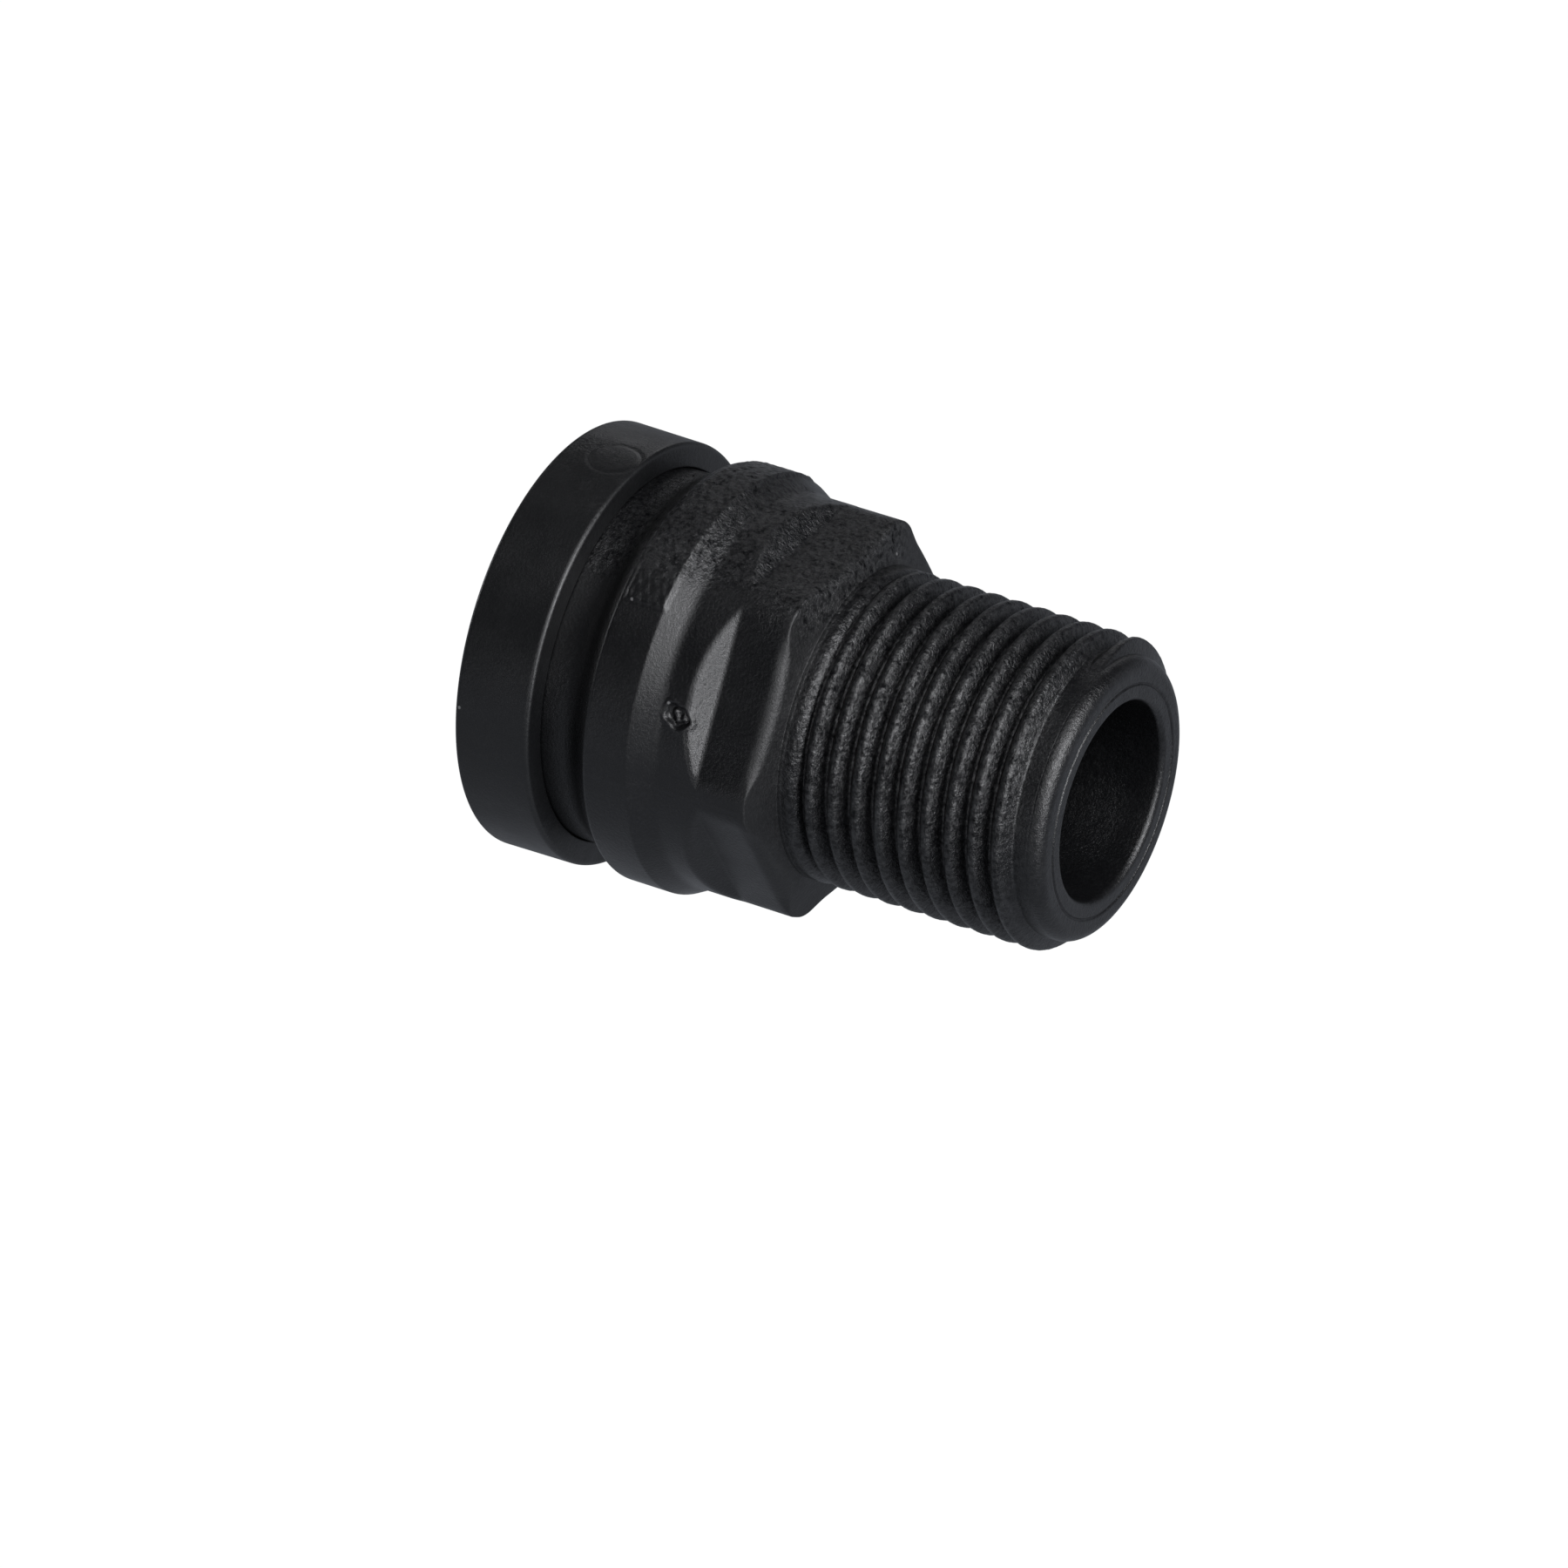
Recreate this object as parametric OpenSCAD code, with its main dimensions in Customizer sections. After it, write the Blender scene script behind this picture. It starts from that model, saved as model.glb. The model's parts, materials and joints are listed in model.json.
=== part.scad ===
// Pneumatic muffler, G 3/8 male thread, moulded polymer body with a snap-fit end cap.
// Millimetres. The axis lies along X: the threaded nose points to +X and the cap to -X.
// The origin is on the axis, in the plane of the shoulder that seats on the port.
// Two of the six wrench flats face straight up and straight down.

/* [Port thread] */
// Outside diameter over the thread crests
thread_d = 16.5; // [16.4:0.05:16.66]
// Diameter at the thread roots
thread_root_d = 14.9; // [14.6:0.05:15.1]
// Distance from one crest to the next
thread_pitch = 1.337; // [1.3:0.001:1.4]
// Width of the small flat on each crest
crest_flat = 0.25; // [0.15:0.05:0.3]
// Number of grooves, and so of crests behind the land at the tip
grooves = 8; // [5:1:8]
// Length of the plain land between the shoulder and the first groove
runout_land = 1.6; // [1.2:0.1:1.8]
// Length of the wide last crest, next to the nose
tip_land = 1.55; // [0.3:0.05:1.6]
// Length from the shoulder to the tip of the nose
nose_len = 14.65; // [14.6:0.05:18]
// Diameter where the nose starts to round in
nose_lead_d = 14.5; // [13.8:0.1:14.6]
// Outside diameter of the flat face at the tip
nose_face_d = 12.8; // [12.2:0.1:13.4]
// Diameter of the inlet bore
bore_d = 10.4; // [8:0.1:11.6]
// Chamfer at the mouth of the inlet bore
bore_chamfer = 0.35; // [0.1:0.05:0.4]

/* [Wrench hexagon] */
// Distance across the flats
hex_af = 18.7; // [18.2:0.1:19]
// Diameter of the round shank that rounds off the six corners
shank_d = 20.8; // [20.2:0.1:21]
// Length of the flats, from the shoulder
flat_len = 3.4; // [2.5:0.05:3.8]
// Length of the slope where each flat runs out into the shank
flat_runout = 1.0; // [0.5:0.05:1.1]
// Length of the shallow cone that takes down the front of the hexagon
hex_chamfer = 0.65; // [0.1:0.05:0.8]
// Outside diameter of the flat seat that is left on the shoulder
seat_d = 17.6; // [17.4:0.1:18.4]
// Length of the whole shank behind the shoulder
shank_len = 5.8; // [5.1:0.05:6]

/* [Collar and neck] */
// Diameter of the collar
collar_d = 22.1; // [21.5:0.1:23]
// Distance from the shoulder to the rear of the collar
collar_rear = 10.4; // [10.1:0.05:10.8]
// Length of the ramp from the neck up to the collar
collar_ramp = 0.85; // [0.2:0.05:1]
// Length of the slope from the collar down to the shank
collar_slope = 1.2; // [0.5:0.1:1.4]
// Height of the blank label pad that stands up from the collar
pad_height = 0.12; // [0.05:0.01:0.2]
// Angle that the label pad covers, centred on top
pad_angle = 84; // [40:2:100]
// Diameter of the neck where it enters the cap
neck_d = 19.7; // [19.2:0.1:20]
// Diameter of the neck at the foot of the collar
neck_flare_d = 20.3; // [20:0.1:20.6]
// Height of the snap bead on the neck
bead_height = 0.2; // [0.1:0.05:0.3]

/* [Chamber] */
// Diameter of the silencing chamber inside the shank, collar and neck
chamber_d = 16.0; // [15:0.1:16.4]
// Distance from the shoulder to the step that the baffle sits on
chamber_front = 2.0; // [1.5:0.1:2.4]
// Thickness of the perforated inlet baffle
baffle_t = 1.0; // [0.8:0.1:1.5]
// Diameter of each baffle hole
baffle_hole_d = 1.9; // [1.2:0.1:2]
// Inside diameter of the porous sleeve
sleeve_id = 10.0; // [8:0.1:11]
// Thickness of the felt pad behind the sleeve
pad_t = 1.6; // [1:0.1:2.5]
// Slack left around each insert
insert_slack = 0.05; // [0.02:0.01:0.1]

/* [End cap] */
// Outside diameter of the cap at its rear
cap_d = 22.5; // [22:0.1:23.5]
// Outside diameter of the cap at its rim, less by the moulding draft
cap_rim_d = 22.4; // [21.6:0.1:22.5]
// Distance from the shoulder to the open rim of the cap
cap_rim = 12.7; // [12:0.05:13]
// Distance from the shoulder to the rear face of the cap
cap_rear = 17.0; // [16.9:0.05:18.3]
// Thickness of the slotted rear wall
cap_floor_t = 1.5; // [1.2:0.1:1.6]
// Radius of the rounded rear edge
cap_edge_r = 0.25; // [0.15:0.05:0.9]
// Number of exhaust slots in the rear wall
slots = 12; // [6:1:12]
// Width of each exhaust slot
slot_w = 1.6; // [1:0.1:1.7]
// Clearance between the cap and the neck
cap_fit = 0.05; // [0.02:0.01:0.1]

/* [Outlet screen] */
// Thickness of the wire gauze disc
screen_t = 0.3; // [0.2:0.05:0.4]
// Distance between the gauze wires
screen_pitch = 1.5; // [1.2:0.1:2.5]
// Width of each opening in the gauze
screen_hole = 0.95; // [0.6:0.05:1.1]

/* [Hidden] */
$fn = 96;
eps = 0.01;

cap_floor = cap_rear - cap_floor_t;        // inner face of the cap's rear wall
neck_end = cap_floor - screen_t;           // rear end of the neck, which clamps the gauze
baffle_rear = chamber_front + baffle_t;
pad_front = neck_end - pad_t;
insert_d = chamber_d - 2 * insert_slack;
bead_x = (cap_rim + neck_end) / 2;         // middle of the snap bead
bead_len = 0.8;
flank = (thread_pitch - 2 * crest_flat) / 2;
root_flat = thread_pitch - crest_flat - 2 * flank;
slot_in = 3.2;                             // radius where the exhaust slots start
slot_out = 8.0;                            // radius where they end

// Turns a half outline of [x, radius] points about the X axis.
module turned(outline) {
    rotate([0, 90, 0]) rotate_extrude() polygon([for (p = outline) [p[1], p[0]]]);
}

// A rod along X, from x0 to x1.
module rod_x(x0, x1, d0, d1) {
    translate([x0, 0, 0]) rotate([0, 90, 0]) cylinder(h = x1 - x0, d1 = d0, d2 = d1);
}

// One groove of the thread: root, then up the flank to the next crest, as [x, radius] points.
function groove(x) = [
    [x, thread_d / 2], [x + flank, thread_root_d / 2],
    [x + flank + root_flat, thread_root_d / 2], [x + 2 * flank + root_flat, thread_d / 2],
];
tip_land_end = runout_land + grooves * thread_pitch - crest_flat + tip_land;

// Outside of the body, from the rear end of the neck to the tip of the nose.
body_outline = concat(
    [[-neck_end, 0], [-neck_end, neck_d / 2 - 0.3], [-neck_end + 0.3, neck_d / 2],
     [-bead_x - bead_len / 2, neck_d / 2], [-bead_x - 0.1, neck_d / 2 + bead_height],
     [-bead_x + 0.1, neck_d / 2 + bead_height], [-bead_x + bead_len / 2, neck_d / 2],
     [-cap_rim, neck_d / 2], [-collar_rear, neck_flare_d / 2],
     [-collar_rear + collar_ramp, collar_d / 2],
     [-shank_len - collar_slope, collar_d / 2], [-shank_len, shank_d / 2], [0, shank_d / 2],
     [0, thread_d / 2]],
    [for (i = [0:grooves - 1]) each groove(runout_land + i * thread_pitch)],
    [[tip_land_end, thread_d / 2], [tip_land_end + flank, nose_lead_d / 2],
     [nose_len - 0.5, nose_lead_d / 2], [nose_len - 0.15, nose_face_d / 2 + 0.35],
     [nose_len, nose_face_d / 2], [nose_len, 0]]
);

// What is cut away above one flat, with the slope where the flat runs out.
module flat_cut() {
    rise = (shank_d - hex_af) / 2;
    translate([0, collar_d / 2, 0]) rotate([90, 0, 0]) linear_extrude(collar_d)
        polygon([[-flat_len, hex_af / 2], [eps, hex_af / 2], [eps, hex_af / 2 + 1.5 * rise],
                 [-flat_len - 1.5 * flat_runout, hex_af / 2 + 1.5 * rise]]);
}

// Takes the front of the hexagon down to a shallow cone, from the corners to the flat seat.
module hex_front_chamfer() {
    difference() {
        rod_x(-hex_chamfer, eps, shank_d + 2, shank_d + 2);
        rod_x(-hex_chamfer - eps, 2 * eps, shank_d + 2 * eps, seat_d);
    }
}

// Blank pad that follows the collar, with room for a label.
module label_pad() {
    x0 = -collar_rear + collar_ramp + 0.2;
    x1 = -shank_len - collar_slope - 0.1;
    translate([x0, 0, 0]) rotate([pad_angle / 2, 0, 0]) rotate([0, 90, 0])
        rotate([0, 0, 180 - pad_angle]) rotate_extrude(angle = pad_angle)
            translate([collar_d / 2 - 0.3, 0]) square([0.3 + pad_height, x1 - x0]);
}

module threaded_body() {
    color([0.13, 0.14, 0.15]) difference() {
        union() {
            turned(body_outline);
            label_pad();
        }
        for (a = [0:60:300]) rotate([a, 0, 0]) flat_cut();
        hex_front_chamfer();
        rod_x(-chamber_front - eps, nose_len + eps, bore_d, bore_d);
        rod_x(nose_len - bore_chamfer, nose_len + eps, bore_d, bore_d + 2 * bore_chamfer);
        rod_x(-neck_end - eps, -chamber_front, chamber_d, chamber_d);
    }
}

// Moulded disc on the chamber step: one hole in the middle and two rings of holes.
module inlet_baffle() {
    color([0.62, 0.62, 0.58]) difference() {
        rod_x(-baffle_rear, -chamber_front, insert_d, insert_d);
        rod_x(-baffle_rear - eps, -chamber_front + eps, baffle_hole_d, baffle_hole_d);
        for (ring = [1, 2], i = [0:6 * ring - 1])
            rotate([i * 60 / ring, 0, 0]) translate([0, ring * 2.25, 0])
                rod_x(-baffle_rear - eps, -chamber_front + eps, baffle_hole_d, baffle_hole_d);
    }
}

// Porous polyethylene tube that lines the chamber.
module absorber_sleeve() {
    color([0.93, 0.92, 0.88]) difference() {
        rod_x(-pad_front, -baffle_rear, insert_d, insert_d);
        rod_x(-pad_front - eps, -baffle_rear + eps, sleeve_id, sleeve_id);
    }
}

// Felt disc that closes the chamber and passes the air.
module felt_pad() {
    color([0.75, 0.73, 0.68]) rod_x(-neck_end, -pad_front, insert_d, insert_d);
}

// Wire gauze disc, clamped between the neck and the cap's rear wall.
module outlet_screen() {
    d = neck_d - 0.6;
    n = floor((d / 2 - 1) / screen_pitch);
    color([0.7, 0.71, 0.72]) difference() {
        rod_x(-cap_floor, -neck_end, d, d);
        for (i = [-n:n], j = [-n:n])
            if (norm([i, j]) * screen_pitch + screen_hole < d / 2 - 0.6)
                translate([-cap_floor - eps, (i - 0.5) * screen_pitch + (screen_pitch - screen_hole) / 2,
                           (j - 0.5) * screen_pitch + (screen_pitch - screen_hole) / 2])
                    cube([screen_t + 2 * eps, screen_hole, screen_hole]);
    }
}

// One round-ended radial slot through the cap's rear wall, pointing up.
module exhaust_slot() {
    for (r = [slot_in + slot_w / 2, slot_out - slot_w / 2]) translate([0, 0, r])
        rod_x(-cap_rear - eps, -cap_floor + eps, r < 5 ? slot_w * 0.75 : slot_w, r < 5 ? slot_w * 0.75 : slot_w);
    translate([-cap_rear - eps, 0, 0]) rotate([90, 0, 90]) linear_extrude(cap_floor_t + 2 * eps)
        polygon([for (side = [-1, 1], end = [side, -side])
            [side * (end > 0 ? slot_w / 2 : slot_w * 0.375),
             end > 0 ? slot_out - slot_w / 2 : slot_in + slot_w / 2]]);
}

module end_cap() {
    bore_r = neck_d / 2 + cap_fit;
    groove_r = bore_r + bead_height;
    arc = [for (a = [0:15:90]) [-cap_rear + cap_edge_r * (1 - sin(a)), cap_d / 2 - cap_edge_r * (1 - cos(a))]];
    color([0.12, 0.125, 0.13]) difference() {
        turned(concat(
            [[-cap_rear, 0]], [for (i = [6:-1:0]) arc[i]],
            [[-cap_rim - 0.1, cap_rim_d / 2], [-cap_rim, cap_rim_d / 2 - 0.1], [-cap_rim, bore_r],
             [-bead_x + bead_len / 2 + 0.05, bore_r], [-bead_x + 0.15, groove_r],
             [-bead_x - 0.15, groove_r], [-bead_x - bead_len / 2 - 0.05, bore_r],
             [-cap_floor, bore_r], [-cap_floor, 0]]));
        for (i = [0:slots - 1]) rotate([i * 360 / slots, 0, 0]) exhaust_slot();
    }
}

threaded_body();
inlet_baffle();
absorber_sleeve();
felt_pad();
outlet_screen();
end_cap();
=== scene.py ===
"""Pneumatic muffler: the visual model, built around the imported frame.

Sizes in this script are in millimetres, and every mesh is written in metres. X runs along
the axis towards the threaded nose and Z is up. An angle about the axis is in degrees, counted
from +Y towards +Z, so 90 is the top and 180 faces -Y, which is the side towards the camera.
"""
import json
import math

import bmesh
import bpy
import numpy as np
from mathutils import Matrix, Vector


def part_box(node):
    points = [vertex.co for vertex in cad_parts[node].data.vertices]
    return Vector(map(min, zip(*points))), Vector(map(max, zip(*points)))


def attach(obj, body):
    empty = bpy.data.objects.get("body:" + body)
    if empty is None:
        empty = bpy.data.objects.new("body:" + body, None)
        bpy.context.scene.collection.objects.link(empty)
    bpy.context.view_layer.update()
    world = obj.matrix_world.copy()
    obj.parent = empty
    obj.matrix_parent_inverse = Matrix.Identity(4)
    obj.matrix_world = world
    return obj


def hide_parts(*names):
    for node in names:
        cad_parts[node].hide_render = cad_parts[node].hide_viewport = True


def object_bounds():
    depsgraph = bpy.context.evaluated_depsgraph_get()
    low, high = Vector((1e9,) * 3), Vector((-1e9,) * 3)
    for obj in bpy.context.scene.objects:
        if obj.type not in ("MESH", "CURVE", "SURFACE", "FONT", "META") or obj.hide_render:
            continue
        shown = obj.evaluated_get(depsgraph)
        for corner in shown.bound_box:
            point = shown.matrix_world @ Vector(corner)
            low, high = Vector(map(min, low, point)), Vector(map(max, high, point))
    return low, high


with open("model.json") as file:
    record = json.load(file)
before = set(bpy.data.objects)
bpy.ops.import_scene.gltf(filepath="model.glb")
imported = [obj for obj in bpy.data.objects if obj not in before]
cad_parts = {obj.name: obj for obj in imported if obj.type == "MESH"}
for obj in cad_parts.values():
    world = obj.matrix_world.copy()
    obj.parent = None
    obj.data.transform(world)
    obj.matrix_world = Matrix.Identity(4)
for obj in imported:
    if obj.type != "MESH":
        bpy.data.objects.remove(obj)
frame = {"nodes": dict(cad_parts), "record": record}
cad_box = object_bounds()

MM = 0.001
MOUNTS = {m["name"]: m for m in frame["record"]["mounts"]}


def box_mm(node):
    """Lowest and highest corner of a CAD node, in millimetres."""
    lo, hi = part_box(node)
    return [v / MM for v in lo], [v / MM for v in hi]


# ---------------------------------------------------------------- sizes, from the frame

body_lo, body_hi = box_mm("threaded_body")
cap_lo, cap_hi = box_mm("end_cap")
baffle_hi = box_mm("inlet_baffle")[1]
screen_lo = box_mm("outlet_screen")[0]

PIECE_GAP = 0.05      # clearance round a piece that sits in another
THREAD_R = MOUNTS["port_thread"]["dims"]["r_mm"]
THREAD_END = MOUNTS["port_thread"]["dims"]["length_mm"]
BORE_R = MOUNTS["inlet_bore"]["dims"]["r_mm"]
FLAT_R = MOUNTS["wrench_flats"]["pos_m"][2] / MM  # half the size across the flats
NOSE = body_hi[0]
NECK_END = body_lo[0]
COLLAR_R = body_hi[1]
PAD_R = body_hi[2]  # the label pad is on top, so it sets the body's height
CHAMBER_FRONT = baffle_hi[0]
CHAMBER_R = baffle_hi[1] + PIECE_GAP
CAP_REAR, CAP_RIM = cap_lo[0], cap_hi[0]
CAP_R = cap_hi[1]
CAP_FLOOR = screen_lo[0]

# Thread, a G 3/8 profile
PITCH = 1.337
FLANK_DEG = 27.5      # half the angle of the groove
CREST_R, ROOT_R = 0.30, 0.02
CREST_AT = 7.02       # a crest passes this X on the side that faces the camera
CREST_AT_DEG = 144.3
LAND_FRONT = 0.55     # a plain ring stands between the shoulder and the first groove, to this X
LAND_ROUND = 0.65     # and its front edge is rounded
LAND_ARC, LAND_FALL = 0.9, 3  # up to this share of the rounding, then down at this slope
THREAD_STOP = (13.36, 13.55)  # the crest line drops to the nose between these X of its own
THREAD_FROM = 0.3     # the thread is cut in front of this X
THREAD_WEAR = 0.012   # crests and roots are this uneven
THREAD_BLEND = 0.05   # how softly the thread meets the surfaces before and after it

# Wrench hexagon and shank
SHANK_R = 10.39
FLAT_REAR = -3.4      # X where the flats end
RUNOUT = 1.0          # length of the slope behind each flat
SHOULDER_TOP = -0.56  # X where the shallow cone of the shoulder leaves the shank
SHOULDER_FOOT = 0.08  # and where it would meet the thread
BLEND = 0.22          # how softly the flats meet the round shank
RUNOUT_BLEND = 0.12   # and the slopes behind them
EDGE_ROUND = 0.75     # and the rounding where they meet the shoulder
SEAM_HEIGHT = 0.018   # mould parting line
SEAM_HALF_DEG = 0.5

# Collar and neck
NECK_R = 9.82
RAMP_FOOT = -10.95    # X where the neck starts to widen into the collar
COLLAR_REAR = -9.5    # between these two the collar is at its full radius
COLLAR_FRONT = -7.0
SHANK_REAR = -5.8     # X where the slope in front of the collar meets the shank
PAD_HALF_DEG = 42     # the label pad reaches this far to each side of the top
PAD_REAR = -9.4
PAD_FRONT = -6.8
PAD_EDGE = 0.28       # width of the slope round the pad
PAD_UNEVEN = 0.25     # how uneven its height is

# Nose
LEAD_R = 7.42         # radius of the plain nose in front of the thread
LEAD_AT = 13.86       # X where it starts
NOSE_ROUND = 0.75     # rounding of its front edge
LIP_R = 6.12          # a fine groove runs round the nose here
LIP_GROOVE = 0.10
MOUTH_ROUND = 0.33    # rounding at the mouth of the bore

# End cap
CAP_BORE_R = NECK_R + PIECE_GAP
CAP_DRAFT = 0.06      # the rim is this much smaller than the rear
GATE_DEPTH, GATE_R = 0.25, 0.8  # dimple in the middle of the rear wall
SLOTS = 12
SLOT_W = 1.6
SLOT_IN, SLOT_OUT = 3.2, 8.0
SLOT_CHAMFER = 0.25
MARK_X, MARK_R = -14.25, 1.35   # round witness mark on top

BODY_COLUMNS, CAP_COLUMNS = 720, 540  # mesh steps about the axis
NOWHERE = 99          # a radius beyond everything


# ---------------------------------------------------------------- mesh helpers

def smoothstep(a, b, x):
    """Rises smoothly from 0 at a to 1 at b."""
    t = np.clip((x - a) / (b - a), 0, 1)
    return t * t * (3 - 2 * t)


def soft_min(a, b, k):
    """The smaller of a and b, rounded over a width k where they cross."""
    h = np.clip(0.5 + 0.5 * (b - a) / k, 0, 1)
    return b + (a - b) * h - k * h * (1 - h)


def soft_max(a, b, k):
    """The larger of a and b, rounded in the same way."""
    return -soft_min(-a, -b, k)


def rounded(corners, spacing):
    """An outline through (x, radius, fillet) corners, with arcs at the corners and a point
    at least every spacing(x) along it."""
    points = []
    for i, (x, r, fillet) in enumerate(corners):
        p = np.array([x, r], float)
        if fillet <= 0 or i in (0, len(corners) - 1):
            points.append(p)
            continue
        back = np.array(corners[i - 1][:2], float) - p
        ahead = np.array(corners[i + 1][:2], float) - p
        back /= np.linalg.norm(back)
        ahead /= np.linalg.norm(ahead)
        half = 0.5 * math.acos(np.clip(back @ ahead, -1, 1))
        middle = (back + ahead) / np.linalg.norm(back + ahead)
        centre = p + middle * fillet / math.sin(half)
        start = p + back * fillet / math.tan(half) - centre
        end = p + ahead * fillet / math.tan(half) - centre
        sweep = math.pi - 2 * half
        steps = max(2, math.ceil(sweep / math.radians(9)))
        for k in range(steps + 1):
            t = k / steps
            points.append(centre + (math.sin((1 - t) * sweep) * start + math.sin(t * sweep) * end)
                          / math.sin(sweep))
    line = [points[0]]
    for p in points[1:]:
        gap = np.linalg.norm(p - line[-1])
        if gap < 1e-6:
            continue
        parts = max(1, math.ceil(gap / spacing(0.5 * (p[0] + line[-1][0]))))
        a = line[-1]
        line.extend(a + (p - a) * (k + 1) / parts for k in range(parts))
    return np.array(line)


def mesh_object(name, points, faces, smooth=True):
    """A new object from points in millimetres."""
    mesh = bpy.data.meshes.new(name)
    mesh.from_pydata((np.asarray(points, float) * MM).tolist(), [], faces)
    mesh.validate()
    mesh.update()
    mesh.polygons.foreach_set("use_smooth", [smooth] * len(mesh.polygons))
    obj = bpy.data.objects.new(name, mesh)
    bpy.context.scene.collection.objects.link(obj)
    return obj


def tube_faces(rows, columns):
    """Quads of a grid that wraps round its rows and its columns."""
    faces = []
    for i in range(rows):
        a, b = i * columns, (i + 1) % rows * columns
        faces.extend((a + j, b + j, b + (j + 1) % columns, a + (j + 1) % columns)
                     for j in range(columns))
    return faces


def column_angles(columns):
    """The angles of a grid's columns, as one row."""
    return (np.arange(columns) * 360 / columns)[None, :]


def around(name, x, r, columns):
    """A closed ring-shaped solid: x and r are grids of rows along the outline and columns
    about the axis."""
    phi = np.radians(column_angles(columns))
    points = np.stack([x + 0 * phi, r * np.cos(phi), r * np.sin(phi)], axis=-1)
    return mesh_object(name, points.reshape(-1, 3), tube_faces(len(r), columns))


def angle_from(phi, centre):
    """Signed angle of phi from centre, in degrees."""
    return (phi - centre + 180) % 360 - 180


# ---------------------------------------------------------------- threaded body

def thread_depth_at(x, phi):
    """How far the thread groove cuts below the crests. The flanks are at FLANK_DEG, with widely
    rounded crests and tight roots, and the crest line climbs one pitch a turn, right-handed."""
    turns = (x - CREST_AT) / PITCH - angle_from(phi, CREST_AT_DEG) / 360
    from_crest = ((turns + 0.5) % 1 - 0.5) * PITCH
    d = np.abs(from_crest)
    sin_f, cos_f = math.sin(math.radians(FLANK_DEG)), math.cos(math.radians(FLANK_DEG))
    crest_reach, root_reach = CREST_R * cos_f, ROOT_R * cos_f
    crest = CREST_R - np.sqrt(CREST_R**2 - np.minimum(d, crest_reach)**2)
    flank = CREST_R * (1 - sin_f) + (d - crest_reach) * cos_f / sin_f
    full = (CREST_R + ROOT_R) * (1 - sin_f) + (PITCH / 2 - crest_reach - root_reach) * cos_f / sin_f
    e = np.minimum(PITCH / 2 - d, root_reach)
    root = full - (ROOT_R - np.sqrt(ROOT_R**2 - e**2))
    depth = np.where(d < crest_reach, crest, np.where(PITCH / 2 - d < root_reach, root, flank))
    ended = smoothstep(*THREAD_STOP, x - from_crest)
    depth = depth + (full - depth) * ended
    ahead = x - LAND_FRONT
    arc = np.clip(ahead, 0, LAND_ARC * LAND_ROUND)
    fall = LAND_FALL * np.maximum(ahead - arc, 0)
    land = LAND_ROUND - np.sqrt(LAND_ROUND**2 - arc**2) + fall
    return np.where(ahead < 0, 0, np.minimum(depth, land))


def flat_cosine(phi):
    """Cosine of the angle to the middle of the nearest flat; one flat is on top."""
    return np.cos(np.radians((phi - 90 + 30) % 60 - 30))


def hexagon_at(x, phi):
    """Distance from the axis to the nearest flat, which slopes out behind FLAT_REAR."""
    rise = (FLAT_REAR - x) * (SHANK_R - FLAT_R) / RUNOUT
    return (FLAT_R + soft_max(rise, np.zeros_like(rise), RUNOUT_BLEND)) / flat_cosine(phi)


def front_edge(x, phi):
    """The rounding between each flat and the cone of the shoulder, and NOWHERE away from it.
    It shrinks to nothing where the flat runs out into the round shank."""
    flat = FLAT_R / flat_cosine(phi)
    slope = (SHANK_R - THREAD_R) / (SHOULDER_FOOT - SHOULDER_TOP)
    fillet = EDGE_ROUND * smoothstep(0, 0.7, SHANK_R - flat) + 1e-6
    corner = SHOULDER_TOP + (SHANK_R - flat) / slope
    start = corner - fillet * math.tan(0.5 * math.atan(slope))
    ahead = (x - start) / fillet
    arc = flat - fillet + fillet * np.sqrt(np.maximum(1 - ahead**2, 0))
    return np.where((ahead > 0) & (ahead < math.sin(math.atan(slope))), arc, NOWHERE)


def body_radius(x, r, phi):
    """The outside of the body: the outline's radius r, cut by the flats and the thread, with
    the small marks of moulding added."""
    radius = soft_min(r + 0 * phi, hexagon_at(x, phi), BLEND)
    radius = np.minimum(radius, front_edge(x, phi))
    threaded = THREAD_R - thread_depth_at(x, phi) - THREAD_WEAR * (1 + uneven(x, phi, 1.7))
    threaded = soft_min(radius, np.maximum(threaded, LEAD_R), THREAD_BLEND)
    radius = np.where((x > THREAD_FROM) & (x <= LEAD_AT), threaded, radius)
    pad = label_pad_height(x, phi)
    radius = radius + pad * (1 + PAD_UNEVEN * uneven(x, phi, 4.3)) + worn_patch(x, phi)
    radius = radius - gate_mark(x, phi) - insert_ring(x, phi, radius)
    return radius + parting_line(x, phi)


def parting_line(x, phi):
    """A fine raised line along both sides, where the halves of the mould met."""
    off = np.minimum(np.abs(angle_from(phi, 180)), np.abs(angle_from(phi, 0)))
    along_body = (x > PAD_REAR) & (x < THREAD_END)
    return SEAM_HEIGHT * np.exp(-(off / SEAM_HALF_DEG)**2) * along_body


def label_pad_height(x, phi):
    """A plain pad that stands up from the top of the collar."""
    side = np.radians(PAD_HALF_DEG - np.abs(angle_from(phi, 90))) * COLLAR_R
    inside = np.minimum(np.minimum(side, x - PAD_REAR), PAD_FRONT - x)
    return (PAD_R - COLLAR_R) * smoothstep(0, PAD_EDGE, inside)


def uneven(x, phi, start):
    """A smooth uneven surface between about -1 and 1, with bumps half a millimetre across."""
    s = np.radians(phi) * SHANK_R
    waves = ((9.1, 4.3, 1), (-5.7, 8.9, 2.6), (12.7, -6.1, 0.7), (3.1, 13.3, 1.9))
    return 0.25 * sum(np.sin(a * x + b * s + c * start) for a, b, c in waves)


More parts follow.
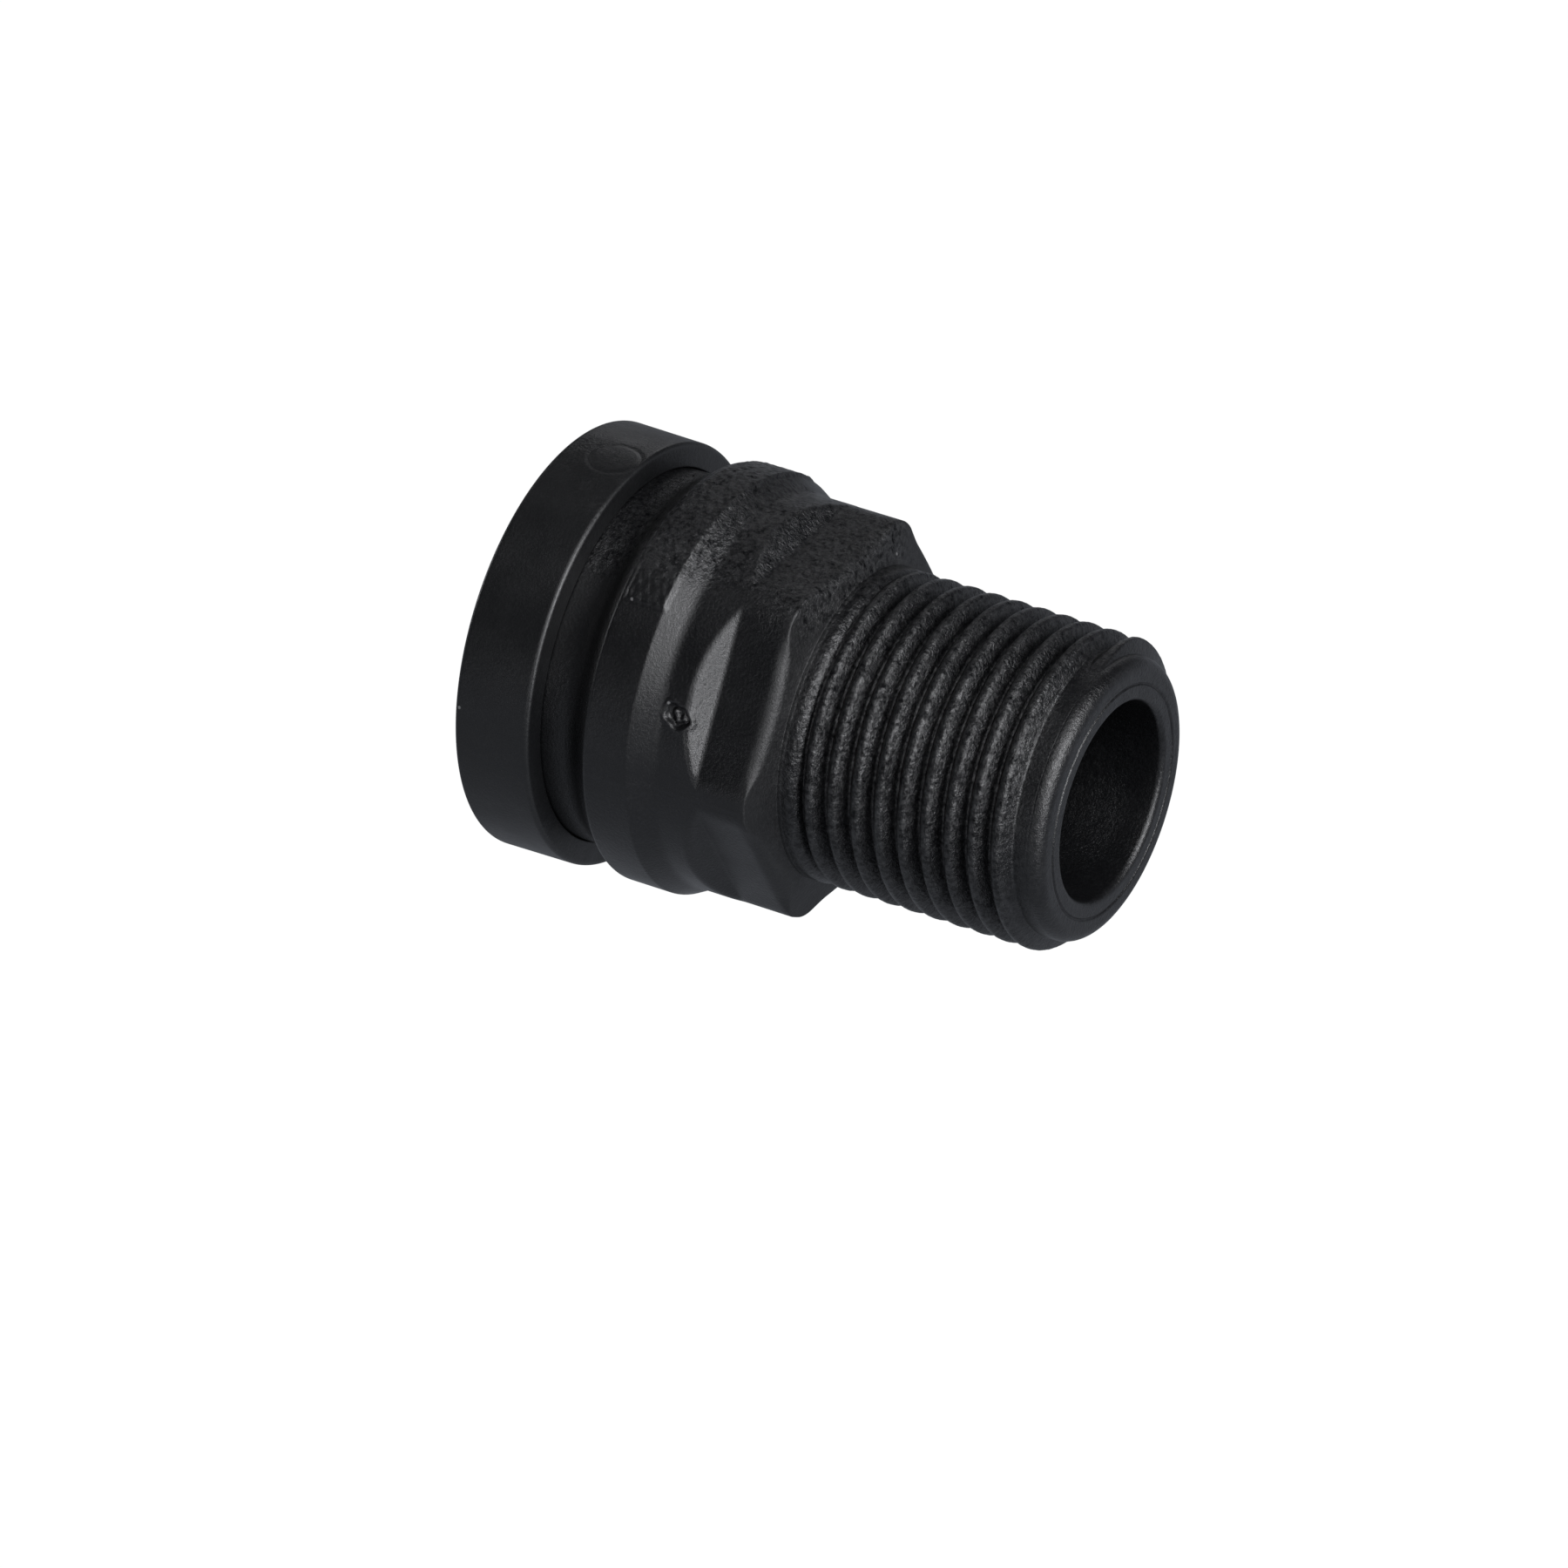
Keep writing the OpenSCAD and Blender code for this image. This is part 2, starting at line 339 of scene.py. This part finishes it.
def worn_patch(x, phi):
    """Shallow unevenness in the middle of the top flat."""
    centre_x, half_length, half_width, height = -1.9, 1.2, 2.9, 0.035
    y = FLAT_R * np.tan(np.radians(np.clip(angle_from(phi, 90), -60, 60)))
    d = np.hypot((x - centre_x) / half_length, y / half_width)
    return height * uneven(x, phi, 0.4) * (1 - smoothstep(0.75, 1.0, d))


def gate_mark(x, phi):
    """The broken-off gate of the moulding: an uneven pit with a torn stub in its middle."""
    centre_x, centre_deg, pit_r = -4.9, 157.5, 0.66
    pit_depth, stub_height, lip_height = 0.34, 0.30, 0.07
    across = np.radians(angle_from(phi, centre_deg)) * SHANK_R
    dx = x - centre_x
    turn = np.arctan2(across, dx)
    reach = pit_r * (1 + 0.14 * np.sin(2 * turn + 0.6) + 0.07 * np.sin(5 * turn))
    d = np.hypot(dx, across) / reach
    crumb = 0.5 + 0.5 * np.sin(9 * dx + 2.2 * across + 4) * np.cos(7 * across - 4 * dx + 1)
    pit = pit_depth * (1 - smoothstep(0.72, 1.0, d))
    stub = stub_height * crumb * (1 - smoothstep(0.25, 0.8, d))
    lip = lip_height * np.exp(-((d - 1.13) / 0.12)**2) * (0.6 + 0.4 * np.sin(3 * turn + 1))
    return np.where(d < 2, pit - stub - lip, 0)


def insert_ring(x, phi, radius):
    """A fine round line on the top flat, left by an insert in the mould."""
    centre_x, ring_r, depth, line_width = -1.95, 1.25, 0.035, 0.08
    y = radius * np.cos(np.radians(phi))
    d = np.hypot(x - centre_x, y)
    worn = 0.35 + 0.65 * smoothstep(-0.6, 0.6, y / ring_r)
    on_top = np.abs(angle_from(phi, 90)) < 30
    return np.where(on_top, depth * worn * np.exp(-((d - ring_r) / line_width)**2), 0)


def make_body():
    """One closed skin: the outside from the neck to the nose, then the bore and chamber."""
    outside = rounded([
        (NECK_END, CHAMBER_R, 0), (NECK_END, NECK_R, 0.25),
        (RAMP_FOOT, NECK_R, 1.6), (COLLAR_REAR, COLLAR_R, 0.3), (COLLAR_FRONT, COLLAR_R, 0.25),
        (SHANK_REAR, SHANK_R, 1.0), (SHOULDER_TOP, SHANK_R, 0.12), (SHOULDER_FOOT, THREAD_R, 0.03),
        (LEAD_AT - 0.4, THREAD_R, 0.12), (LEAD_AT, LEAD_R, 0),
        (NOSE, LEAD_R, NOSE_ROUND),
        (NOSE, LIP_R + LIP_GROOVE, 0), (NOSE - LIP_GROOVE, LIP_R, 0),
        (NOSE, LIP_R - LIP_GROOVE, 0.03), (NOSE, BORE_R + MOUTH_ROUND, 0)],
        lambda x: 0.05 if SHOULDER_TOP - 0.2 < x < LEAD_AT else 0.08 if x > CAP_RIM else 0.4)
    inside = rounded([
        (NOSE, BORE_R + MOUTH_ROUND, 0), (NOSE, BORE_R, MOUTH_ROUND), (CHAMBER_FRONT, BORE_R, 0.1),
        (CHAMBER_FRONT, CHAMBER_R, 0.1), (NECK_END, CHAMBER_R, 0)],
        lambda x: 0.6)
    phi = column_angles(BODY_COLUMNS)
    x, r = outside[:, :1], outside[:, 1:]
    skin = body_radius(x, r, phi)
    x_in, r_in = inside[1:-1, :1], inside[1:-1, 1:]
    out_of_round = 0.02 * np.sin(3 * np.radians(phi) + 0.7 * x_in) * (x_in < NOSE - 1)
    return around("body_skin", np.vstack([x, x_in]) + 0 * phi,
                  np.vstack([skin, r_in + out_of_round]), BODY_COLUMNS)


# ---------------------------------------------------------------- end cap

def make_cap():
    """The cap as a turned cup with a round witness mark on top and the remains of the gate in
    the middle of its rear wall, then the slots cut through."""
    mark_depth, mark_line = 0.05, 0.09
    outline = rounded([
        (CAP_REAR + GATE_DEPTH, 0, 0), (CAP_REAR + GATE_DEPTH, GATE_R, 0.1),
        (CAP_REAR, GATE_R + 0.3, 0.1), (CAP_REAR, CAP_R, 0.25),
        (CAP_RIM, CAP_R - CAP_DRAFT, 0.26), (CAP_RIM, CAP_BORE_R, 0.08),
        (CAP_FLOOR, CAP_BORE_R, 0.1), (CAP_FLOOR, 0, 0)],
        lambda x: 0.8 if x < CAP_REAR + 0.01 or abs(x - CAP_FLOOR) < 0.01 else 0.1)
    phi = column_angles(CAP_COLUMNS)
    x, r = outline[:, :1], outline[:, 1:]
    d = np.hypot(x - MARK_X, np.radians(angle_from(phi, 90)) * CAP_R)
    outer = (r > CAP_R - 0.5) & (x < CAP_RIM - 0.2)
    ring = np.where(outer, mark_depth * np.exp(-((d - MARK_R) / mark_line)**2), 0)
    cup = around("cap_shell", x + 0 * phi, r - ring, CAP_COLUMNS)
    weld(cup)
    cut(cup, slot_cutters())
    return cup


def weld(obj):
    """Merges the points that meet on the axis."""
    work = bmesh.new()
    work.from_mesh(obj.data)
    bmesh.ops.remove_doubles(work, verts=work.verts, dist=1e-6)
    work.to_mesh(obj.data)
    work.free()


def slot_cutters():
    """Round-ended radial slots in one mesh, each with a small chamfer at the rear face."""
    levels = ((CAP_REAR - 0.1, SLOT_CHAMFER), (CAP_REAR + SLOT_CHAMFER - 0.1, 0),
              (CAP_FLOOR + 0.1, 0))
    points, faces = [], []
    for slot in range(SLOTS):
        turn = slot * 2 * math.pi / SLOTS
        first = len(points)
        for x, grow in levels:
            for y, z in slot_outline(grow):
                points.append((x, y * math.cos(turn) - z * math.sin(turn),
                               y * math.sin(turn) + z * math.cos(turn)))
        n = len(slot_outline(0))
        faces.append([first + j for j in reversed(range(n))])
        faces.append([first + 2 * n + j for j in range(n)])
        faces += [[first + a * n + j, first + a * n + (j + 1) % n,
                   first + (a + 1) * n + (j + 1) % n, first + (a + 1) * n + j]
                  for a in (0, 1) for j in range(n)]
    return mesh_object("slot_cutters", points, faces, False)


def slot_outline(grow):
    """(y, z) points of the slot that points up: a wide outer end and a narrower inner one."""
    ends = ((SLOT_OUT - SLOT_W / 2, SLOT_W / 2, 0), (SLOT_IN + SLOT_W / 2, SLOT_W * 0.375, 180))
    return [((radius + grow) * math.cos(math.radians(start + 15 * k)),
             centre + (radius + grow) * math.sin(math.radians(start + 15 * k)))
            for centre, radius, start in ends for k in range(13)]


def cut(obj, cutter):
    """Takes the cutter's shape out of obj, and deletes the cutter."""
    step = obj.modifiers.new("cut", "BOOLEAN")
    step.operation = "DIFFERENCE"
    step.solver = "EXACT"
    step.object = cutter
    with bpy.context.temp_override(object=obj, active_object=obj):
        bpy.ops.object.modifier_apply(modifier=step.name)
    bpy.data.objects.remove(cutter)


# ---------------------------------------------------------------- materials

FROST_DRIFT = 0.8             # the borders of the frosted areas wander by this much
THREAD_FADE = (-1.6, 0.2)     # the thread's frosting fades in over this length
NOSE_FADE = (12.7, 13.3)      # and mostly out again before the nose
UNDERSIDE_FADE = (-5, 2)      # the underside of the thread has less of it
TOP_FADE = (-1.5, 0)          # heights over which the top's frosting fades in
TOP_SIDES = (4.8, 6.4)        # and distances to each side over which it fades out
SCUFF_START, SCUFF_STOP = (-1.1, -0.7), (0.2, 0.5)  # the shoulder's edge is scuffed
SCUFF = 0.15                  # and this much rougher
# inside the bore the first factor darkens the colour as painted shade, and the others scale its
# roughness and its grain
BORE_PAINTED_SHADE, BORE_GLOSS, BORE_GRAIN = 0.8, 0.9, 0.7
BORE_LOW = (-3.6, -1.4)       # the lowest side of the bore gets almost none of the painted shade, and is more like the outside
DUST = (0.12, 0.12, 0.12)
POLYMER_IOR = 1.5


def material(name):
    """A new node material: its node tree, a Principled shader and the object coordinates."""
    mat = bpy.data.materials.new(name)
    mat.use_nodes = True
    tree = mat.node_tree
    shader = next(n for n in tree.nodes if n.type == "BSDF_PRINCIPLED")
    coords = tree.nodes.new("ShaderNodeTexCoord")
    return mat, tree, shader, coords.outputs["Object"]


def noise(tree, coords, per_mm, detail=2.0, roughness=0.5, stretch=(1, 1, 1)):
    """Noise with about per_mm bumps to the millimetre."""
    mapping = tree.nodes.new("ShaderNodeMapping")
    mapping.inputs["Scale"].default_value = [per_mm / MM * s for s in stretch]
    tree.links.new(coords, mapping.inputs["Vector"])
    node = tree.nodes.new("ShaderNodeTexNoise")
    node.inputs["Scale"].default_value = 1.0
    node.inputs["Detail"].default_value = detail
    node.inputs["Roughness"].default_value = roughness
    tree.links.new(mapping.outputs["Vector"], node.inputs["Vector"])
    return node.outputs["Fac"]


def ramp(tree, value, low, high, a, b):
    """Maps value, from low to high, to the range a to b."""
    node = tree.nodes.new("ShaderNodeMapRange")
    node.inputs["From Min"].default_value = low
    node.inputs["From Max"].default_value = high
    node.inputs["To Min"].default_value = a
    node.inputs["To Max"].default_value = b
    tree.links.new(value, node.inputs["Value"])
    return node.outputs["Result"]


def mixed(tree, factor, dark, light):
    """A colour between dark and light."""
    node = tree.nodes.new("ShaderNodeMix")
    node.data_type = "RGBA"
    node.clamp_factor = False
    node.inputs["A"].default_value = (*dark, 1)
    node.inputs["B"].default_value = (*light, 1)
    tree.links.new(factor, node.inputs["Factor"])
    return node.outputs["Result"]


def bumped(tree, height, strength, distance_mm, normal=None):
    """Normals of a height map, on top of the given normals."""
    node = tree.nodes.new("ShaderNodeBump")
    node.inputs["Strength"].default_value = strength
    node.inputs["Distance"].default_value = distance_mm * MM
    tree.links.new(height, node.inputs["Height"])
    if normal:
        tree.links.new(normal, node.inputs["Normal"])
    return node.outputs["Normal"]


def math_node(tree, operation, a, b):
    """A math node; b is a socket or a number."""
    node = tree.nodes.new("ShaderNodeMath")
    node.operation = operation
    tree.links.new(a, node.inputs[0])
    if isinstance(b, (int, float)):
        node.inputs[1].default_value = b
    else:
        tree.links.new(b, node.inputs[1])
    return node.outputs[0]


def times(tree, a, b):
    return math_node(tree, "MULTIPLY", a, b)


def plus(tree, a, b):
    return math_node(tree, "ADD", a, b)


def dust(tree, coords):
    """1 on a few tiny specks of dust, 0 elsewhere."""
    mapping = tree.nodes.new("ShaderNodeMapping")
    mapping.inputs["Scale"].default_value = [0.33 / MM] * 3
    tree.links.new(coords, mapping.inputs["Vector"])
    cells = tree.nodes.new("ShaderNodeTexVoronoi")
    cells.inputs["Scale"].default_value = 1.0
    tree.links.new(mapping.outputs["Vector"], cells.inputs["Vector"])
    return ramp(tree, cells.outputs["Distance"], 0.02, 0.035, 1, 0)


def along(tree, coords, axis):
    """Distance along X, Y or Z, in millimetres."""
    parts = tree.nodes.new("ShaderNodeSeparateXYZ")
    tree.links.new(coords, parts.inputs[0])
    return times(tree, parts.outputs[axis], 1 / MM)


def radius_mm(tree, coords):
    """Distance from the X axis, in millimetres."""
    y, z = along(tree, coords, "Y"), along(tree, coords, "Z")
    return math_node(tree, "SQRT", plus(tree, times(tree, y, y), times(tree, z, z)), 0)


def frosting(tree, coords, front_x, top_z):
    """How frosted the moulding is, from 0 to 1: most on the thread in front of front_x and
    along the top above top_z, with an uneven border."""
    drift = ramp(tree, noise(tree, coords, 0.4, 2), 0.3, 0.7, -FROST_DRIFT, FROST_DRIFT)
    x = along(tree, coords, "X")
    z = plus(tree, along(tree, coords, "Z"), drift)
    sideways = math_node(tree, "ABSOLUTE", along(tree, coords, "Y"), 0)
    sideways = plus(tree, sideways, drift)
    thread = times(tree, ramp(tree, x, front_x + THREAD_FADE[0], front_x + THREAD_FADE[1], 0, 1),
                   ramp(tree, x, *NOSE_FADE, 1, 0.3))
    thread = times(tree, thread, ramp(tree, z, *UNDERSIDE_FADE, 0.45, 1))
    top = times(tree, ramp(tree, z, top_z + TOP_FADE[0], top_z + TOP_FADE[1], 0, 1),
                ramp(tree, sideways, *TOP_SIDES, 1, 0))
    return math_node(tree, "MAXIMUM", thread, top)


def dusted(tree, coords, colour):
    """The colour with specks of dust on it."""
    node = tree.nodes.new("ShaderNodeMix")
    node.data_type = "RGBA"
    tree.links.new(dust(tree, coords), node.inputs["Factor"])
    tree.links.new(colour, node.inputs["A"])
    node.inputs["B"].default_value = (*DUST, 1)
    return node.outputs["Result"]


def polymer(name, dark, light, roughness, grain_mm, grain_depth, front_x, top_z, bore=None):
    """Black moulded polymer: a fine grain of filler, cloudy gloss, slight waviness and dust.
    The frosted areas have a stronger grain and speckled gloss, and the shoulder's edge is
    rougher. Inside the radius bore, except along its lowest side, its colour is darker with painted
    shade, and it is smoother."""
    mat, tree, shader, coords = material(name)
    cloud = noise(tree, coords, 0.35, 3)
    specks = noise(tree, coords, 1 / grain_mm, 3, 0.7)
    flecks = noise(tree, coords, 0.6 / grain_mm, 4, 0.75)
    patches = noise(tree, coords, 0.9, 2, 0.5, (0.5, 1, 1))
    blotches = noise(tree, coords, 1.6, 3, 0.6)
    frost = frosting(tree, coords, front_x, top_z)
    x = along(tree, coords, "X")
    tone = times(tree, ramp(tree, specks, 0.45, 0.72, 0, 1),
                 ramp(tree, patches, 0.35, 0.65, 0.35, 1))
    gloss = ramp(tree, cloud, 0.3, 0.7, roughness - 0.05, roughness + 0.05)
    gloss = plus(tree, gloss, times(tree, ramp(tree, x, *SCUFF_START, 0, SCUFF),
                                    ramp(tree, x, *SCUFF_STOP, 1, 0)))
    height = times(tree, specks, ramp(tree, frost, 0, 1, 0.35, 1))
    if bore:
        outside = ramp(tree, radius_mm(tree, coords), bore, bore + 0.25, 0, 1)
        low = ramp(tree, along(tree, coords, "Z"), *BORE_LOW, 0.9, 0)
        outside = math_node(tree, "MAXIMUM", outside, low)
        # painted shade: the colour inside the bore is darkened, except along its lowest side
        tone = times(tree, tone, ramp(tree, outside, 0, 1, BORE_PAINTED_SHADE, 1))
        gloss = times(tree, gloss, ramp(tree, outside, 0, 1, BORE_GLOSS, 1))
        height = times(tree, height, ramp(tree, outside, 0, 1, BORE_GRAIN, 1))
    sparkle = plus(tree, ramp(tree, flecks, 0.40, 0.62, -0.34, 0.40),
                   ramp(tree, blotches, 0.35, 0.65, -0.18, 0.18))
    sparkle = plus(tree, times(tree, sparkle, frost), 0.5)
    tree.links.new(dusted(tree, coords, mixed(tree, tone, dark, light)),
                   shader.inputs["Base Color"])
    tree.links.new(sparkle, shader.inputs["Specular IOR Level"])
    tree.links.new(gloss, shader.inputs["Roughness"])
    wave = bumped(tree, patches, 0.3, 0.05, bumped(tree, cloud, 0.3, 0.06))
    tree.links.new(bumped(tree, height, 1.0, grain_depth, wave), shader.inputs["Normal"])
    shader.inputs["IOR"].default_value = POLYMER_IOR
    return mat


def plain_grain(name, dark, light, roughness, per_mm, depth_mm, metallic=0.0):
    """A simpler finish for the pieces inside."""
    mat, tree, shader, coords = material(name)
    value = noise(tree, coords, per_mm, 4, 0.6)
    tree.links.new(mixed(tree, ramp(tree, value, 0.35, 0.65, 0, 1), dark, light),
                   shader.inputs["Base Color"])
    tree.links.new(ramp(tree, value, 0.3, 0.7, roughness + 0.08, roughness - 0.08),
                   shader.inputs["Roughness"])
    tree.links.new(bumped(tree, value, 0.6, depth_mm), shader.inputs["Normal"])
    shader.inputs["Metallic"].default_value = metallic
    return mat


def paint(obj, mat):
    """Gives obj this material and no other."""
    obj.data.materials.clear()
    obj.data.materials.append(mat)


# ---------------------------------------------------------------- the pieces

body = make_body()
paint(body, polymer("body_polymer", (0.0030, 0.0031, 0.0035), (0.0080, 0.0083, 0.0090),
                    roughness=0.34, grain_mm=0.16, grain_depth=0.08, front_x=1.0, top_z=8.2,
                    bore=BORE_R + 0.05))
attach(body, "root")
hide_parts("threaded_body")

cap = make_cap()
paint(cap, polymer("cap_polymer", (0.0028, 0.0030, 0.0034), (0.0070, 0.0074, 0.0078),
                   roughness=0.40, grain_mm=0.15, grain_depth=0.05, front_x=0, top_z=12.2))
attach(cap, "root")
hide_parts("end_cap")

paint(frame["nodes"]["inlet_baffle"],
      plain_grain("baffle_polymer", (0.03, 0.03, 0.03), (0.06, 0.06, 0.06), 0.5, 3, 0.02))
paint(frame["nodes"]["absorber_sleeve"],
      plain_grain("porous_polymer", (0.55, 0.54, 0.50), (0.85, 0.84, 0.80), 0.7, 4, 0.08))
paint(frame["nodes"]["felt_pad"],
      plain_grain("felt", (0.30, 0.29, 0.26), (0.60, 0.58, 0.52), 0.9, 6, 0.10))
paint(frame["nodes"]["outlet_screen"],
      plain_grain("gauze", (0.45, 0.45, 0.45), (0.65, 0.65, 0.65), 0.35, 5, 0.01, 1.0))


# ---------------------------------------------------------------- stage, light and camera

# name, glow, tint, and whether the camera sees it; the object sees the other one
FLOORS = (("floor", 1.0, (1, 1, 1), True), ("floor_bounce", 0.29, (0.93, 0.98, 1.09), False))
FLOOR_HALF = 3000
LAMP_SIZE, LAMP_DISTANCE = 180, 500
LAMP_TINT = (0.985, 0.99, 1.02)
# name, azimuth, elevation and radiance
LAMPS = (("key_high", 75, 35, 24), ("key_low", 60, 8, 13), ("key_side", 105, 25, 4),
         ("top_right", 60, 62, 6.5), ("front_right", 30, 35, 5.8), ("top_front", 0, 62, 2.5),
         ("front_low", 0, 8, 2.5), ("top", 0, 88, 1.1), ("left_edge", 270, 8, 3.9),
         ("back_fill", 200, 20, 1.4), ("back_left", 240, 35, 0.9))
WORLD_TINT, WORLD_STRENGTH = (0.9, 0.97, 1.1), 0.02


def stage_floor():
    """A white floor for the camera, and at the same height a darker one that lights and
    reflects in the object, because the white is overexposed."""
    corners = [(x * FLOOR_HALF, y * FLOOR_HALF, 0) for x, y in ((-1, -1), (1, -1), (1, 1), (-1, 1))]
    for name, glow, tint, seen in FLOORS:
        floor = mesh_object(name, corners, [(0, 1, 2, 3)], False)
        floor.location.z = cad_box[0][2]
        mat, tree, shader, coords = material(name)
        tone = ramp(tree, noise(tree, coords, 0.004, 2), 0.3, 0.7, 0, 1)
        tree.links.new(mixed(tree, tone, (0.05, 0.05, 0.05), (0.06, 0.06, 0.06)),
                       shader.inputs["Base Color"])
        shader.inputs["Roughness"].default_value = 0.9
        shader.inputs["Specular IOR Level"].default_value = 0.0
        shader.inputs["Emission Color"].default_value = (*tint, 1)
        shader.inputs["Emission Strength"].default_value = glow
        paint(floor, mat)
        floor.visible_camera = seen
        floor.visible_diffuse = floor.visible_glossy = not seen


def toward(azimuth, elevation):
    """Unit vector from the object; azimuth 0 is -Y and 90 is +X."""
    a, e = math.radians(azimuth), math.radians(elevation)
    return Vector((math.sin(a) * math.cos(e), -math.cos(a) * math.cos(e), math.sin(e)))


def soft_light(name, azimuth, elevation, radiance):
    """A round soft light that faces the object; radiance is how bright its face looks."""
    data = bpy.data.lights.new(name, "AREA")
    data.shape = "DISK"
    data.size = LAMP_SIZE * MM
    data.energy = radiance * math.pi * math.pi * (LAMP_SIZE * MM / 2)**2
    data.color = LAMP_TINT
    lamp = bpy.data.objects.new(name, data)
    lamp.location = toward(azimuth, elevation) * LAMP_DISTANCE * MM
    lamp.rotation_euler = (-lamp.location).to_track_quat("-Z", "Y").to_euler()
    bpy.context.scene.collection.objects.link(lamp)


def place_camera(azimuth, elevation, distance, aim, lens):
    """The scene's camera, which looks at the point aim from this far away."""
    data = bpy.data.cameras.new("camera")
    data.lens = lens
    data.sensor_width = 36
    data.clip_start, data.clip_end = 0.01, 20
    camera = bpy.data.objects.new("camera", data)
    camera.location = (Vector(aim) + toward(azimuth, elevation) * distance) * MM
    camera.rotation_euler = (-toward(azimuth, elevation)).to_track_quat("-Z", "Y").to_euler()
    bpy.context.scene.collection.objects.link(camera)
    bpy.context.scene.camera = camera


stage_floor()
for lamp_name, lamp_azimuth, lamp_elevation, lamp_radiance in LAMPS:
    soft_light(lamp_name, lamp_azimuth, lamp_elevation, lamp_radiance)
world = bpy.data.worlds.new("studio")
world.use_nodes = True
background = world.node_tree.nodes["Background"]
background.inputs["Color"].default_value = (*WORLD_TINT, 1)
background.inputs["Strength"].default_value = WORLD_STRENGTH
bpy.context.scene.world = world
bpy.context.scene.view_settings.view_transform = "Standard"
place_camera(azimuth=30.575, elevation=32.435, distance=551, aim=(-1.764, -4.402, -1.829), lens=252)
